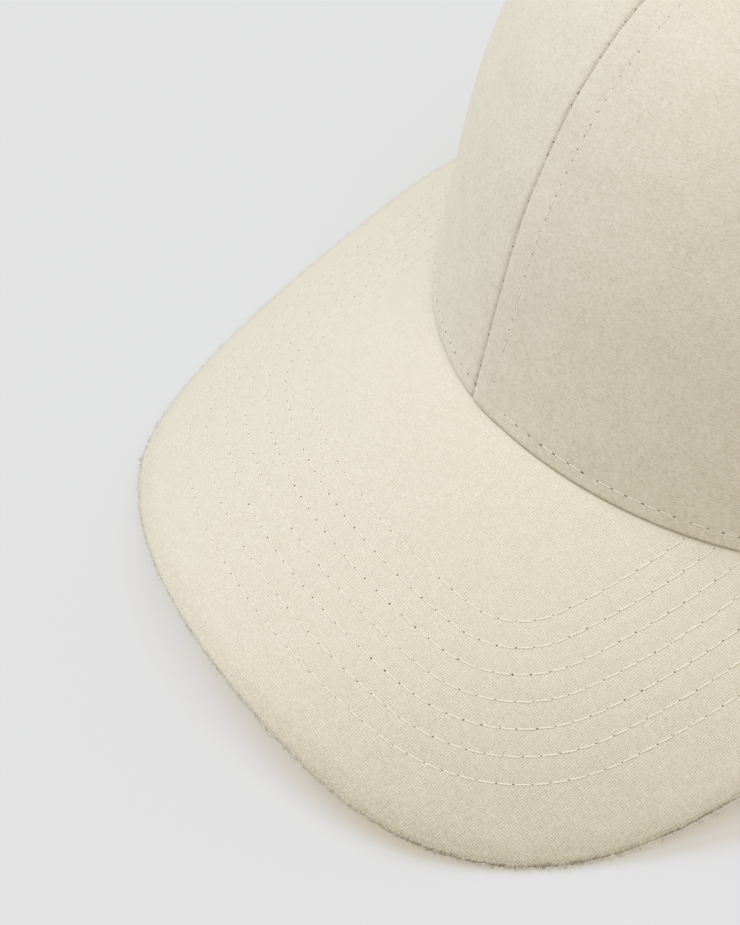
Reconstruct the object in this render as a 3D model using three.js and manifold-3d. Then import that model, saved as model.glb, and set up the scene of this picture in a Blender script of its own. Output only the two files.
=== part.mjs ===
// A six-panel peaked cap in brushed wool cloth, lying on a flat surface as it would by itself.
// Millimetres, +Z up. The wearer faces -Y and the wearer's left is +X.
// The surface is z = 0: the cap stands on the two front corners of its peak and on the back of
// its rim, whose edge is flattened there.

import * as THREE from "three";
import { mergeVertices } from "three/addons/utils/BufferGeometryUtils.js";
import Module from "manifold-3d";

const wasm = await Module();
wasm.setup();

const degrees = THREE.MathUtils.degToRad;

// Driving dimensions: the rim and the crown
const RIM_HALF_WIDTH = 85.5;
const RIM_HALF_LENGTH = 96.7;
const RIM_ROUNDNESS = 1.89; // exponent of the oval, 2 for an ellipse, less for a pointed front
const APEX_ROUNDNESS = 2.08; // the same exponent at the top of the crown
const RIM_SLOPE = degrees(12.3); // how far the rim plane falls from the front to the back
const WALL = 1.8; // wool cloth with its fused backing
const PIECE_GAP = 0.3; // room between two pieces that are sewn together
const PANEL_COUNT = 6;
const PANEL_FLATNESS = 0.028; // how far a panel's middle draws in near the top, per radius
const APEX_HOLE_RADIUS = 3.2; // where the points of the panels meet under the button
const LIFT_FADE_POWER = 8; // how soon up the wall the lift onto the peak dies away
const LIFT_FADE_ANGLE = degrees(10); // how soon past the joint's ends it does

// Crown profile, a row for each level from the rim to the apex: the height above the rim plane,
// and how far the front seam and the widest point of the side have come in from the rim.
const CROWN_LEVELS = [
  { height: 0, front: 0, side: 0 },
  { height: 20, front: 2.8, side: 0.4 },
  { height: 40, front: 5.8, side: 2.2 },
  { height: 55, front: 9.7, side: 5.2 },
  { height: 68, front: 14.7, side: 9.5 },
  { height: 82, front: 23.6, side: 16.8 },
  { height: 95, front: 38, side: 27.8 },
  { height: 104, front: 55, side: 41.2 },
  { height: 109.5, front: 76, side: 59 },
  { height: 111.5, front: RIM_HALF_LENGTH, side: RIM_HALF_WIDTH },
];

// Driving dimensions: the peak, as a flat pattern that is bent over a cylinder and tilted
const PEAK_LENGTH = 70; // from the joint to the tip, along the middle
const PEAK_THICKNESS = 3.2; // the board and its two covers
const PEAK_SLOPE = degrees(14.8); // how far the middle falls from the joint to the tip
const PEAK_BEND = 9.05e-3; // curvature across the middle, 1 / mm
const PEAK_BEND_EASE = 3.39e-7; // how the curvature dies away towards the sides, 1 / mm^3
const PEAK_FLARE = 2.77e-3; // how the bend grows towards the tip, 1 / mm
const PEAK_SAG = 5.69e-4; // extra fall towards the tip, 1 / mm
const PEAK_TUCK = 6.7e-3; // extra fall of the two ends, down to the rim, 1 / mm
const TUCK_START = 20; // how far behind the joint's middle the ends start to fall
const INNER_SPARE = 4; // how much further in the board is made before it is cut
const HOLLOW_REACH = 30;

// Edge of the peak's pattern, from its tip to one side: three arcs that run on smoothly.
const PEAK_EDGE_ARCS = [
  { radius: 158, turn: degrees(19) },
  { radius: 57, turn: degrees(51.8) },
  { radius: 96.6, turn: degrees(60) },
];

// Driving dimensions: the small pieces
const BAND_HEIGHT = 30; // the sweatband inside the rim
const BAND_THICKNESS = 1.4;
const BAND_HEM = 2.2; // from the rim up to the band's lower edge
const BUTTON_RADIUS = 7.2;
const BUTTON_HEIGHT = 4.6;
const BUTTON_EDGE = 1.6; // height of the button's side under its dome
const BUTTON_LIP = 0.4; // how far the dome's rim stands out past its base
const SHANK_RADIUS = 1.9; // the button's shank, through the points of the panels
const SHANK_LENGTH = 2.6;

// How finely the soft forms are divided
const PANEL_COLUMNS = 10;
const PANEL_ROWS = 15;
const BAND_COLUMNS = 60;
const PEAK_STATIONS = 48;
const PEAK_RINGS = 6;
const HOLLOW_SIDES = 90;
const EDGE_STEPS = 4;
const ROUND_SIDES = 24;
const DOME_STEPS = 6;
const HALVINGS = 40; // steps of each search for a place by halving

// Colours of the pieces, as the cloth shows
const woolCloth = new THREE.MeshStandardMaterial({ color: 0xe3dcc8, roughness: 0.95, metalness: 0 });
const bandCloth = new THREE.MeshStandardMaterial({ color: 0xddd6c2, roughness: 0.9, metalness: 0 });

// The profile as one curve: x is the front inset, y the side inset and z the height.
const crownProfile = new THREE.CatmullRomCurve3(
  CROWN_LEVELS.map((row) => new THREE.Vector3(row.front, row.side, row.height)),
  false,
  "catmullrom",
);

// Turns a place over the rim plane into the cap's frame, whose origin is the middle of the joint.
function fromRimPlane(across, back, height) {
  return new THREE.Vector3(
    across,
    back * Math.cos(RIM_SLOPE) + height * Math.sin(RIM_SLOPE),
    -back * Math.sin(RIM_SLOPE) + height * Math.cos(RIM_SLOPE),
  );
}

// How much a panel is drawn in at an angle, least at its two seams.
function panelDraw(angle, level) {
  const panelTurn = (2 * Math.PI) / PANEL_COUNT;
  const place = (((angle % panelTurn) + panelTurn) % panelTurn) / panelTurn;
  return PANEL_FLATNESS * level * level * 4 * place * (1 - place);
}

// Radius of the crown's section about its axis. Angle 0 is the front and a positive angle is the
// wearer's left. Level 0 is the rim and level 1 the apex.
function crownRadius(angle, level) {
  const inset = crownProfile.getPoint(level);
  const halfWidth = Math.max(RIM_HALF_WIDTH - inset.y, 1e-3);
  const share = halfWidth / RIM_HALF_WIDTH;
  const reach = Math.cos(angle) > 0 ? Math.max(RIM_HALF_LENGTH - inset.x, 1e-3) : RIM_HALF_LENGTH * share;
  const roundness = THREE.MathUtils.lerp(RIM_ROUNDNESS, APEX_ROUNDNESS, level);
  const sum =
    Math.pow(Math.abs(Math.sin(angle)) / halfWidth, roundness) +
    Math.pow(Math.abs(Math.cos(angle)) / reach, roundness);
  return Math.pow(sum, -1 / roundness) * (1 - panelDraw(angle, level));
}

function crownSurface(angle, level, lift = 0) {
  const radius = crownRadius(angle, level);
  const height = crownProfile.getPoint(level).z + lift * Math.pow(1 - level, LIFT_FADE_POWER);
  return fromRimPlane(
    radius * Math.sin(angle),
    RIM_HALF_LENGTH - radius * Math.cos(angle),
    height,
  );
}

// A point at a depth under the crown's outer surface.
function crownPoint(angle, level, depth, lift = 0) {
  const step = 1e-3;
  const low = Math.max(level - step, 0);
  const high = Math.min(level + step, 1);
  const around = crownSurface(angle + step, level).sub(crownSurface(angle - step, level));
  const upward = crownSurface(angle, high).sub(crownSurface(angle, low));
  const outward = around.cross(upward).normalize();
  return crownSurface(angle, level, lift).addScaledVector(outward, -depth);
}

// Where a place across the peak's pattern comes to lie once the pattern is bent.
function bendAcross(across) {
  const steps = 24;
  const step = Math.abs(across) / steps;
  let x = 0;
  let drop = 0;
  for (let i = 0; i < steps; i += 1) {
    const place = (i + 0.5) * step;
    const turn = PEAK_BEND * place - PEAK_BEND_EASE * place ** 3;
    x += Math.cos(turn) * step;
    drop += Math.sin(turn) * step;
  }
  return { x: Math.sign(across) * x, drop };
}

function peakDrop(drop, forward) {
  const tuck = PEAK_TUCK * Math.max(-forward - TUCK_START, 0) ** 2;
  return drop * (1 + PEAK_FLARE * forward) + PEAK_SAG * forward * Math.abs(forward) + tuck;
}

// The peak's upper surface at a place of its pattern: across it, and forward from the joint.
function peakSurface(across, forward) {
  const bent = bendAcross(across);
  const fall = peakDrop(bent.drop, forward);
  return new THREE.Vector3(
    bent.x,
    -forward * Math.cos(PEAK_SLOPE) + fall * Math.sin(PEAK_SLOPE),
    -forward * Math.sin(PEAK_SLOPE) - fall * Math.cos(PEAK_SLOPE),
  );
}

function peakPoint(across, forward, depth) {
  const step = 0.05;
  const sideways = peakSurface(across + step, forward).sub(peakSurface(across - step, forward));
  const ahead = peakSurface(across, forward + step).sub(peakSurface(across, forward - step));
  const upward = ahead.cross(sideways).normalize();
  return peakSurface(across, forward).addScaledVector(upward, -depth);
}

// The place in the peak's pattern that lies over a plan position.
function patternPlace(x, y) {
  let across = x;
  for (let i = 0; i < 6; i += 1) {
    const turn = PEAK_BEND * Math.abs(across) - PEAK_BEND_EASE * Math.abs(across) ** 3;
    across += (x - bendAcross(across).x) / Math.cos(turn);
  }
  const drop = bendAcross(across).drop;
  let forward = -y;
  for (let i = 0; i < 12; i += 1) {
    forward = (peakDrop(drop, forward) * Math.sin(PEAK_SLOPE) - y) / Math.cos(PEAK_SLOPE);
  }
  return { across, forward };
}

// The edge of the peak's pattern at a distance along it from the tip.
function peakEdge(distance) {
  let across = 0;
  let forward = PEAK_LENGTH;
  let heading = 0;
  let left = Math.abs(distance);
  for (const arc of PEAK_EDGE_ARCS) {
    const turn = Math.min(left / arc.radius, arc.turn);
    across += arc.radius * (Math.sin(heading + turn) - Math.sin(heading));
    forward += arc.radius * (Math.cos(heading + turn) - Math.cos(heading));
    heading += turn;
    left -= turn * arc.radius;
  }
  return { across: Math.sign(distance) * across, forward };
}

// How far a plan position lies outside the crown's rim.
function outsideRim(place) {
  const point = peakSurface(place.across, place.forward);
  const back = point.y / Math.cos(RIM_SLOPE);
  const angle = Math.atan2(point.x, RIM_HALF_LENGTH - back);
  const radius = Math.hypot(point.x, RIM_HALF_LENGTH - back);
  return { angle, distance: radius - crownRadius(angle, 0) };
}

// The last value between two limits for which a test still holds, found by halving.
function lastWhere(low, high, test) {
  let near = low;
  let far = high;
  for (let i = 0; i < HALVINGS; i += 1) {
    const middle = (near + far) / 2;
    if (test(middle)) near = middle;
    else far = middle;
  }
  return near;
}

// The length of edge from the tip to where the peak's edge runs in under the rim.
const edgeEnd = lastWhere(
  PEAK_LENGTH,
  3 * PEAK_LENGTH,
  (distance) => outsideRim(peakEdge(distance)).distance > 0,
);
const jointEndAngle = outsideRim(peakEdge(edgeEnd)).angle;

// How far the crown's edge is lifted off the rim plane to lie on the peak, at a depth in its wall.
function liftOnPeak(angle, depth) {
  const beyond = Math.max(Math.abs(angle) - jointEndAngle, 0);
  if (beyond >= LIFT_FADE_ANGLE) return 0;
  const held = Math.sign(angle) * Math.min(Math.abs(angle), jointEndAngle);
  const edge = crownPoint(held, 0, depth);
  const place = patternPlace(edge.x, edge.y);
  const top = peakSurface(place.across, place.forward).z + PIECE_GAP;
  const share = 1 - THREE.MathUtils.smoothstep(beyond, 0, LIFT_FADE_ANGLE);
  return ((top - edge.z) / Math.cos(RIM_SLOPE)) * share;
}

// A closed mesh from a loop of section polygons, with both ends capped or joined to each other.
function loft(sections, joined) {
  const size = sections[0].length;
  const positions = sections.flat().flatMap((point) => point.toArray());
  const faces = [];
  const last = joined ? sections.length : sections.length - 1;
  for (let i = 0; i < last; i += 1) {
    const here = i * size;
    const next = ((i + 1) % sections.length) * size;
    for (let j = 0; j < size; j += 1) {
      const k = (j + 1) % size;
      faces.push(here + j, next + j, next + k, here + j, next + k, here + k);
    }
  }
  if (!joined) {
    const tail = (sections.length - 1) * size;
    for (let j = 0; j < size / 2 - 1; j += 1) {
      const k = size - 1 - j;
      faces.push(j, j + 1, k - 1, j, k - 1, k);
      faces.push(tail + j, tail + k - 1, tail + j + 1, tail + j, tail + k, tail + k - 1);
    }
  }
  const geometry = new THREE.BufferGeometry();
  geometry.setAttribute("position", new THREE.Float32BufferAttribute(positions, 3));
  geometry.setIndex(faces);
  return geometry;
}

function toSolid(geometry) {
  const plain = geometry.clone();
  plain.deleteAttribute("normal");
  plain.deleteAttribute("uv");
  const merged = mergeVertices(plain);
  return new wasm.Manifold(
    new wasm.Mesh({
      numProp: 3,
      vertProperties: merged.attributes.position.array,
      triVerts: new Uint32Array(merged.index.array),
    }),
  );
}

function toGeometry(solid) {
  const mesh = solid.getMesh();
  const geometry = new THREE.BufferGeometry();
  geometry.setAttribute("position", new THREE.Float32BufferAttribute(mesh.vertProperties, 3));
  geometry.setIndex(Array.from(mesh.triVerts));
  geometry.computeVertexNormals();
  return geometry;
}

// One crown panel between two seams, as a wall of cloth from the rim to the apex.
function makePanel(firstSeam) {
  const panelTurn = (2 * Math.PI) / PANEL_COUNT;
  const sections = [];
  for (let row = 0; row <= PANEL_ROWS; row += 1) {
    const level = topLevel * (row / PANEL_ROWS);
    const outer = [];
    const inner = [];
    for (let column = 0; column <= PANEL_COLUMNS; column += 1) {
      const seamRoom = PIECE_GAP / 2 / crownRadius(firstSeam, level);
      const share = column / PANEL_COLUMNS;
      const angle = firstSeam + seamRoom + (panelTurn - 2 * seamRoom) * share;
      const fold = THREE.MathUtils.euclideanModulo(angle + Math.PI, 2 * Math.PI) - Math.PI;
      outer.unshift(crownPoint(angle, level, 0, liftOnPeak(fold, 0)));
      inner.push(crownPoint(angle, level, WALL, liftOnPeak(fold, WALL)));
    }
    sections.push([...outer, ...inner]);
  }
  return loft(sections, false);
}

// The level at which the crown's section has shrunk to the hole at the apex.
const topLevel = lastWhere(0.5, 1, (level) => crownRadius(Math.PI / 2, level) > APEX_HOLE_RADIUS);

// The room inside the crown's wall where it meets the peak, as a column across the rim plane.
function makeHollow() {
  const outline = [];
  for (let i = 0; i < HOLLOW_SIDES; i += 1) {
    const angle = (2 * Math.PI * i) / HOLLOW_SIDES;
    const radius = crownRadius(angle, 0) - WALL;
    outline.push(new THREE.Vector2(radius * Math.sin(angle), RIM_HALF_LENGTH - radius * Math.cos(angle)));
  }
  const settings = { depth: 2 * HOLLOW_REACH, bevelEnabled: false };
  const column = new THREE.ExtrudeGeometry(new THREE.Shape(outline), settings);
  column.translate(0, 0, -HOLLOW_REACH);
  return column.rotateX(-RIM_SLOPE);
}

// The peak: a curved board with a rounded edge, cut flush with the inside of the crown's wall.
function makePeak() {
  const sections = [];
  const half = PEAK_THICKNESS / 2;
  for (let station = 0; station <= PEAK_STATIONS; station += 1) {
    const share = 1 - (2 * station) / PEAK_STATIONS;
    const angle = share * jointEndAngle;
    const wall = crownPoint(angle, 0, WALL + INNER_SPARE);
    const inner = patternPlace(wall.x, wall.y);
    const edge = peakEdge(share * edgeEnd);
    const length = Math.hypot(edge.across - inner.across, edge.forward - inner.forward);
    const rounded = Math.min(half, length / 3);
    const place = (distance) => {
      const part = distance / length;
      return [
        THREE.MathUtils.lerp(inner.across, edge.across, part),
        THREE.MathUtils.lerp(inner.forward, edge.forward, part),
      ];
    };
    const top = [];
    const bottom = [];
    for (let ring = 0; ring <= PEAK_RINGS; ring += 1) {
      const spot = place(((length - rounded) * ring) / PEAK_RINGS);
      top.push(peakPoint(...spot, 0));
      bottom.unshift(peakPoint(...spot, PEAK_THICKNESS));
    }
    const round = [];
    for (let step = 1; step < EDGE_STEPS; step += 1) {
      const turn = (Math.PI * step) / EDGE_STEPS;
      const spot = place(length - rounded + rounded * Math.sin(turn));
      round.push(peakPoint(...spot, half - half * Math.cos(turn)));
    }
    sections.push([...top, ...round, ...bottom]);
  }
  return toGeometry(toSolid(loft(sections, false)).subtract(toSolid(makeHollow())));
}

// The sweatband: a plain band of cloth that stands inside the rim.
function makeBand() {
  const bandTop = lastWhere(0, 1, (level) => crownProfile.getPoint(level).z < BAND_HEIGHT);
  const bandBottom = (bandTop * BAND_HEM) / BAND_HEIGHT;
  const sections = [];
  for (let column = 0; column < BAND_COLUMNS; column += 1) {
    const angle = (2 * Math.PI * column) / BAND_COLUMNS;
    const front = WALL + PIECE_GAP;
    const rows = [bandBottom, (bandBottom + bandTop) / 2, bandTop];
    const outer = rows.map((level) => crownPoint(angle, level, front));
    const inner = rows.map((level) => crownPoint(angle, level, front + BAND_THICKNESS)).reverse();
    sections.push([...outer, ...inner]);
  }
  return loft(sections, true);
}

// The covered button over the points of the panels, with its shank through them.
function makeButton() {
  const profile = [
    new THREE.Vector2(0, -SHANK_LENGTH),
    new THREE.Vector2(SHANK_RADIUS, -SHANK_LENGTH),
    new THREE.Vector2(SHANK_RADIUS, 0),
    new THREE.Vector2(BUTTON_RADIUS - BUTTON_LIP, 0),
  ];
  for (let step = 0; step <= DOME_STEPS; step += 1) {
    const turn = (Math.PI / 2) * (step / DOME_STEPS);
    profile.push(
      new THREE.Vector2(
        BUTTON_RADIUS * Math.cos(turn),
        BUTTON_EDGE + (BUTTON_HEIGHT - BUTTON_EDGE) * Math.sin(turn),
      ),
    );
  }
  profile[profile.length - 1].x = 0;
  return new THREE.LatheGeometry(profile, ROUND_SIDES).rotateX(Math.PI / 2);
}

// Trims away what would reach below the surface that the cap lies on.
function trimAtFloor(geometry, floor) {
  const reach = 4 * RIM_HALF_LENGTH;
  const below = new THREE.BoxGeometry(reach, reach, reach);
  below.translate(0, RIM_HALF_LENGTH, floor - reach / 2);
  return toGeometry(toSolid(geometry).subtract(toSolid(below)));
}

function addPiece(group, name, geometry, material) {
  const mesh = new THREE.Mesh(geometry, material);
  mesh.name = name;
  group.add(mesh);
  return mesh;
}

// The panels in turn from the front seam, round by the wearer's left.
const PANEL_NAMES = [
  "crown_front_left",
  "crown_side_left",
  "crown_back_left",
  "crown_back_right",
  "crown_side_right",
  "crown_front_right",
];

const peakGeometry = makePeak();
peakGeometry.computeBoundingBox();
const floor = peakGeometry.boundingBox.min.z;

const cap = new THREE.Group();
addPiece(cap, "peak", peakGeometry, woolCloth);
PANEL_NAMES.forEach((name, index) => {
  const firstSeam = (2 * Math.PI * index) / PANEL_COUNT;
  addPiece(cap, name, trimAtFloor(makePanel(firstSeam), floor), woolCloth);
});
addPiece(cap, "sweatband", makeBand(), bandCloth);

const button = addPiece(cap, "top_button", makeButton(), woolCloth);
const apexHeight = CROWN_LEVELS[CROWN_LEVELS.length - 1].height + PIECE_GAP;
button.position.copy(fromRimPlane(0, RIM_HALF_LENGTH, apexHeight));
button.rotation.x = -RIM_SLOPE;

// The cap's frame is moved so that the surface is z = 0 and y = 0 is midway along the cap.
const box = new THREE.Box3().setFromObject(cap);
cap.position.set(0, -(box.min.y + box.max.y) / 2, -floor);

const root = new THREE.Group();
root.add(cap);

export default root;
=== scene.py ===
# The looks of a six-panel peaked cap in brushed wool cloth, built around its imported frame.
# Metres, +Z up. The wearer faces -Y and the wearer's left is +X. The cap lies on the floor z = 0.

import math

import bpy
import numpy as np
from mathutils import Matrix, Vector


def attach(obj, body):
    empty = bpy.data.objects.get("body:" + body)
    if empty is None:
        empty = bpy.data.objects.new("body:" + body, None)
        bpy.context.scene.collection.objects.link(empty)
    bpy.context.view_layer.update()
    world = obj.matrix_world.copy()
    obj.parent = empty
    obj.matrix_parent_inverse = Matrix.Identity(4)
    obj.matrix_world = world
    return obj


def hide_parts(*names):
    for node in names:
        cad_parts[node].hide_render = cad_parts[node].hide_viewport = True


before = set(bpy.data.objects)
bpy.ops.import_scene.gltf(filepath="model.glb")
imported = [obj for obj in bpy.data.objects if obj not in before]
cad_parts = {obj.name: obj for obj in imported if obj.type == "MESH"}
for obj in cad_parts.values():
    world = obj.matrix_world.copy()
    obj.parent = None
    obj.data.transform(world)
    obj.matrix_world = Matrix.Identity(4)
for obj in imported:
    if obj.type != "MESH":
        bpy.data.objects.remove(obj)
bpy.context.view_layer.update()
chance = np.random.default_rng(11)

# Where the middle of the joint between crown and peak lies
JOINT = np.array([0.0, -0.0644128, 0.0393409])

# Crown: the oval of its rim, and how it closes to the apex
RIM_HALF_WIDTH = 0.0855
RIM_HALF_LENGTH = 0.0967
RIM_ROUNDNESS = 1.89
APEX_ROUNDNESS = 2.08
RIM_SLOPE = math.radians(12.3)
WALL = 0.0018
PANEL_TURN = math.radians(60)
PANEL_FLATNESS = 0.028
APEX_RADIUS = 0.0032
LIFT_FADE_POWER = 8
LIFT_FADE_ANGLE = math.radians(10)

# A row for each level from the rim to the apex: height over the rim plane, and how far the
# front seam and the widest point of the side have come in from the rim
CROWN_LEVELS = np.array([
    (0.0, 0.0, 0.0),
    (0.020, 0.0028, 0.0004),
    (0.040, 0.0058, 0.0022),
    (0.055, 0.0097, 0.0052),
    (0.068, 0.0147, 0.0095),
    (0.082, 0.0236, 0.0168),
    (0.095, 0.0380, 0.0278),
    (0.104, 0.0550, 0.0412),
    (0.1095, 0.0760, 0.0590),
    (0.1115, 0.0967, 0.0855),
])

# The panels in turn from the front seam round by the wearer's left, and whether each one is folded
# and lapped over its neighbour at its first seam and at its last
PANELS = [
    ("crown_front_left", True, False),
    ("crown_side_left", True, False),
    ("crown_back_left", True, True),
    ("crown_back_right", False, True),
    ("crown_side_right", False, True),
    ("crown_front_right", False, False),
]

# Seams of the crown
SEAM_REACH = 0.0105  # how far from a seam its relief dies away
FOLD_RADIUS = 0.00038  # the folded edge of the panel that laps over
FOLD_LIFT = 0.00022  # how high that edge stands
FOLD_EDGE = 0.00015  # how far that edge stands back from the seam
DITCH_DEPTH = 0.00014  # how deep the other panel goes in beside it
DITCH_WIDTH = 0.0010
TUCKED_UNDER = 0.0006  # how far the other panel runs on under the fold
INNER_ROOM = 0.00015  # how far the inner sides of the panels end before their seam
SEAM_LINE = 0.00028  # how far from the seam its own stitches show in the ditch
SEAM_LINE_STAND = 0.00004  # how high they lie over the bottom of the ditch
SEAM_ROW_START = 0.0055  # how far the seam rows keep from the crown's lower edge
SEAM_ROW_END = 0.012  # and from its apex
SEAM_ROW = 0.0048  # the topstitched row beside each lapped fold, at the crown's lower edge
SEAM_ROW_SPREAD = 0.020  # how much further from the fold it is for each metre above that
EDGE_ROW = 0.0035  # the row above the crown's lower edge
EDGE_ROUNDING = 0.00082
GROOVE_DEPTH = 0.00006
GROOVE_WIDTH = 0.0005
CROWN_WAVE = 0.00030  # slow unevenness of the cloth

# Peak: a flat pattern bent over a cylinder and tilted
PEAK_LENGTH = 0.070
PEAK_THICKNESS = 0.0032
PEAK_SLOPE = math.radians(14.8)
PEAK_BEND = 9.05
PEAK_BEND_EASE = 339.0
PEAK_FLARE = 2.77
PEAK_SAG = 0.569
PEAK_TUCK = 6.7
TUCK_START = 0.020
PEAK_EDGE_ARCS = ((0.158, math.radians(19)), (0.057, math.radians(51.8)), (0.0966, math.radians(60)))
EDGE_SEAM_DEPTH = 0.00022  # the line where the upper and lower covers are sewn together

# Rows of stitching on the peak
ROW_COUNT = 7
ROW_SPACING = 0.00486
FIRST_ROW = 0.0281
ROW_ARCS = ((0.131, math.radians(15.6)), (0.016, math.radians(63.8)), (0.148, math.radians(60)))
ROW_END_ROOM = 0.0004  # how far the rows end before the crown covers them
ROW_GROOVES = ((0.00004, 0.0005), (0.00005, 0.0015))  # depth and width, at the thread and around it

# Stitches of all rows
PEAK_STITCH = 0.00346
SEAM_STITCH = 0.0025
EDGE_STITCH = 0.00295
THREAD_RADIUS = 0.00017
THREAD_FLATNESS = 0.55  # a thread's height for its width, as it is pressed into the cloth
THREAD_RISE = 0.18  # how far a thread's middle stands over the cloth, for its radius
THREAD_DIVE = 0.0004  # how deep a thread goes in at its ends
NAP_COVER = 0.0005  # how deep a stitch lies that the nap has covered
HOLE_RADIUS = 0.0003
HOLE_RIM = -0.00006  # how high a hole's rim, its middle and its lower side lie over the cloth
HOLE_MIDDLE = 0.00005
HOLE_UNDERSIDE = -0.00012

# Sweatband and button
BAND_HEIGHT = 0.030
BAND_HEM = 0.0022
BAND_THICKNESS = 0.0014
BAND_ROWS = (0.0045, 0.0268)  # its two rows of stitches, by their height on the crown's wall
PIECE_GAP = 0.0003
CLOTH_GAP = 0.00008  # between the crown's edge and the peak under it
BUTTON_RADIUS = 0.0072
BUTTON_HEIGHT = 0.0046
BUTTON_EDGE = 0.0016
BUTTON_GATHER = 0.00016
BUTTON_STAND = 0.0002

# Camera, as fitted to the picture: it aims at a point of the floor
CAMERA_AZIMUTH = math.radians(70.733)
CAMERA_ELEVATION = math.radians(47.939)
CAMERA_ROLL = math.radians(-10.667)
CAMERA_AIM = np.array([-0.0301, -0.0767, 0.0])
CAMERA_DISTANCE = 0.5051
CAMERA_LENS_MM = 92.715


# Helpers

def smooth_step(value, low, high):
    share = np.clip((value - low) / (high - low), 0, 1)
    return share * share * (3 - 2 * share)


def bell(value, width):
    return np.exp(-((value / width) ** 2))


def unit(vectors):
    return vectors / np.linalg.norm(vectors, axis=-1, keepdims=True)


def last_where(low, high, test):
    """The last value between two limits for which a test still holds."""
    for _ in range(40):
        middle = (low + high) / 2
        if test(middle):
            low = middle
        else:
            high = middle
    return low


# The form of the crown

def from_joint(across, back, height, slope):
    """A place measured from the joint, on a plane that falls to the back with a slope."""
    along = back * math.cos(slope) + height * math.sin(slope)
    up = height * math.cos(slope) - back * math.sin(slope)
    return JOINT + np.stack([across + 0 * back, along, up], -1)


def crown_profile(level):
    """Height, front inset and side inset at a level, on one smooth curve through the table."""
    rows = CROWN_LEVELS
    rows = np.vstack([2 * rows[0] - rows[1], rows, 2 * rows[-1] - rows[-2]])
    place = np.clip(level, 0, 1) * (len(CROWN_LEVELS) - 1)
    index = np.minimum(np.floor(place).astype(int), len(CROWN_LEVELS) - 2)
    part = (place - index)[..., None]
    before, start, end, after = (rows[index + k] for k in range(4))
    leave = (end - before) / 2
    arrive = (after - start) / 2
    square = 3 * (end - start) - 2 * leave - arrive
    cube = 2 * (start - end) + leave + arrive
    found = start + part * (leave + part * (square + part * cube))
    return np.moveaxis(found, -1, 0)


def panel_draw(angle, level):
    place = np.mod(angle, PANEL_TURN) / PANEL_TURN
    return PANEL_FLATNESS * level * level * 4 * place * (1 - place)


def from_front(angle):
    return np.mod(angle + math.pi, 2 * math.pi) - math.pi


def crown_radius(angle, level):
    """Radius of the crown's section. Angle 0 is the front, and the wearer's left is positive."""
    height, front, side = crown_profile(level)
    half_width = np.maximum(RIM_HALF_WIDTH - side, 1e-6)
    front_reach = np.maximum(RIM_HALF_LENGTH - front, 1e-6)
    back_reach = RIM_HALF_LENGTH * half_width / RIM_HALF_WIDTH
    reach = np.where(np.cos(angle) > 0, front_reach, back_reach)
    power = RIM_ROUNDNESS + (APEX_ROUNDNESS - RIM_ROUNDNESS) * level
    total = (np.abs(np.sin(angle)) / half_width) ** power + (np.abs(np.cos(angle)) / reach) ** power
    return total ** (-1 / power) * (1 - panel_draw(angle, level))


def crown_surface(angle, level, lift=0.0):
    radius = crown_radius(angle, level)
    height = crown_profile(level)[0] + lift * (1 - level) ** LIFT_FADE_POWER
    back = RIM_HALF_LENGTH - radius * np.cos(angle)
    return from_joint(radius * np.sin(angle), back, height, RIM_SLOPE)


def crown_around(angle, level):
    """How the surface runs on along its section, in metres for each radian."""
    step = 1e-3
    return (crown_surface(angle + step, level) - crown_surface(angle - step, level)) / (2 * step)


def crown_outward(angle, level):
    step = 1e-3
    upwards = crown_surface(angle, np.minimum(level + step, 1))
    upwards = upwards - crown_surface(angle, np.maximum(level - step, 0))
    return unit(np.cross(crown_around(angle, level), upwards))


def crown_point(angle, level, depth, lift=0.0):
    angle, level, depth = np.broadcast_arrays(angle, level, depth)
    return crown_surface(angle, level, lift) - crown_outward(angle, level) * depth[..., None]


def crown_width(angle, level):
    return np.linalg.norm(crown_around(angle, level), axis=-1)


LEVEL_GRID = np.linspace(0, 1, 2001)
level_steps = np.diff(crown_surface(np.full_like(LEVEL_GRID, PANEL_TURN / 2), LEVEL_GRID), axis=0)
HEIGHT_GRID = np.concatenate([[0], np.cumsum(np.linalg.norm(level_steps, axis=1))])
TOP_LEVEL = last_where(
    0.5, 1, lambda level: crown_radius(np.array(math.pi / 2), np.array(level)) > APEX_RADIUS
)


def level_at(distance):
    """The level at a distance along the cloth from the crown's lower edge."""
    return np.interp(distance, HEIGHT_GRID, LEVEL_GRID)


# The form of the peak

BEND_GRID = np.linspace(0, 0.15, 3001)
bend_turn = PEAK_BEND * BEND_GRID - PEAK_BEND_EASE * BEND_GRID ** 3
BEND_STEP = BEND_GRID[1]


def running_sum(values):
    return np.concatenate([[0], np.cumsum((values[1:] + values[:-1]) / 2 * BEND_STEP)])


BEND_ACROSS = running_sum(np.cos(bend_turn))
BEND_DROP = running_sum(np.sin(bend_turn))


def peak_fall(drop, forward):
    tuck = PEAK_TUCK * np.maximum(-forward - TUCK_START, 0) ** 2
    return drop * (1 + PEAK_FLARE * forward) + PEAK_SAG * forward * np.abs(forward) + tuck


def peak_surface(across, forward):
    """The upper surface at a place of the pattern: across it, and forward from the joint."""
    side = np.sign(across) * np.interp(np.abs(across), BEND_GRID, BEND_ACROSS)
    fall = peak_fall(np.interp(np.abs(across), BEND_GRID, BEND_DROP), forward)
    return from_joint(side, -forward, -fall, -PEAK_SLOPE)


def peak_upward(across, forward):
    step = 2e-4
    sideways = peak_surface(across + step, forward) - peak_surface(across - step, forward)
    ahead = peak_surface(across, forward + step) - peak_surface(across, forward - step)
    return unit(np.cross(ahead, sideways))


def peak_point(across, forward, depth):
    return peak_surface(across, forward) - peak_upward(across, forward) * np.asarray(depth)[..., None]


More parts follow.
